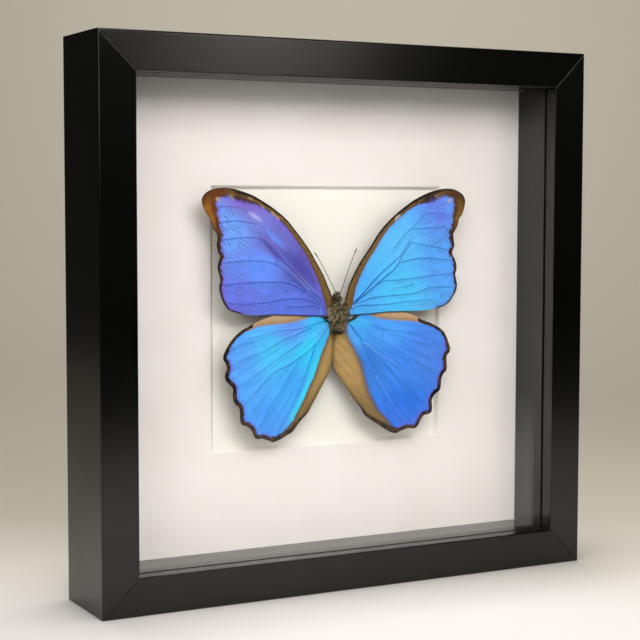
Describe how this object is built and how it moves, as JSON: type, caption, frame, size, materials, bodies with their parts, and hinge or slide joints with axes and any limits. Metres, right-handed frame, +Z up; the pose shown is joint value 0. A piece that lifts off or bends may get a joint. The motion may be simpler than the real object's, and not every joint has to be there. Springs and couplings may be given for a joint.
{
  "type": "framed butterfly specimen",
  "caption": "Blue butterfly with spread wings, mounted in front of a bevelled white window mat in a deep square black box frame with a glass front.",
  "frame": {"origin": "middle of the bottom face, halfway between the front and the back of the frame", "axes": "+X to the viewer's right along the frame, +Y from the glass to the back, +Z up"},
  "size_m": [0.25, 0.044, 0.25],
  "materials": {
    "frame_black": "satin black lacquer over a fine wood grain",
    "zinc_steel": "dull zinc plating",
    "clear_glass": "polished clear float glass",
    "spacer_black": "matt black strip",
    "mat_card": "matt white card with a bevelled edge",
    "mounting_card": "matt warm white card",
    "hardboard": "bare brown hardboard",
    "brassed_steel": "bright brassed plating",
    "foam": "fine white foam",
    "body_fur": "short dark brown hair",
    "antenna_horn": "thin brown horn",
    "wing_scales": "iridescent blue scales with a dark brown rim"
  },
  "bodies": {
    "root": {"frame_rail_bottom": "frame_black", "frame_rail_right": "frame_black", "frame_rail_top": "frame_black", "frame_rail_left": "frame_black", "corner_nail_bottom_left": "zinc_steel", "corner_nail_bottom_right": "zinc_steel", "corner_nail_top_right": "zinc_steel", "corner_nail_top_left": "zinc_steel", "glass_pane": "clear_glass", "spacer_bottom": "spacer_black", "spacer_right": "spacer_black", "spacer_top": "spacer_black", "spacer_left": "spacer_black", "mat": "mat_card", "mounting_board": "mounting_card", "back_panel": "hardboard", "retaining_point_bottom_1": "zinc_steel", "retaining_point_bottom_2": "zinc_steel", "retaining_point_right_1": "zinc_steel", "retaining_point_right_2": "zinc_steel", "retaining_point_top_1": "zinc_steel", "retaining_point_top_2": "zinc_steel", "retaining_point_left_1": "zinc_steel", "retaining_point_left_2": "zinc_steel", "hanger_plate": "brassed_steel", "hanger_rivet_left": "brassed_steel", "hanger_rivet_right": "brassed_steel", "support_block": "foam", "thorax": "body_fur", "head": "body_fur", "antenna_left": "antenna_horn", "antenna_right": "antenna_horn", "forewing_left": "wing_scales", "forewing_right": "wing_scales", "hindwing_left": "wing_scales", "hindwing_right": "wing_scales"}
  },
  "joints": []
}
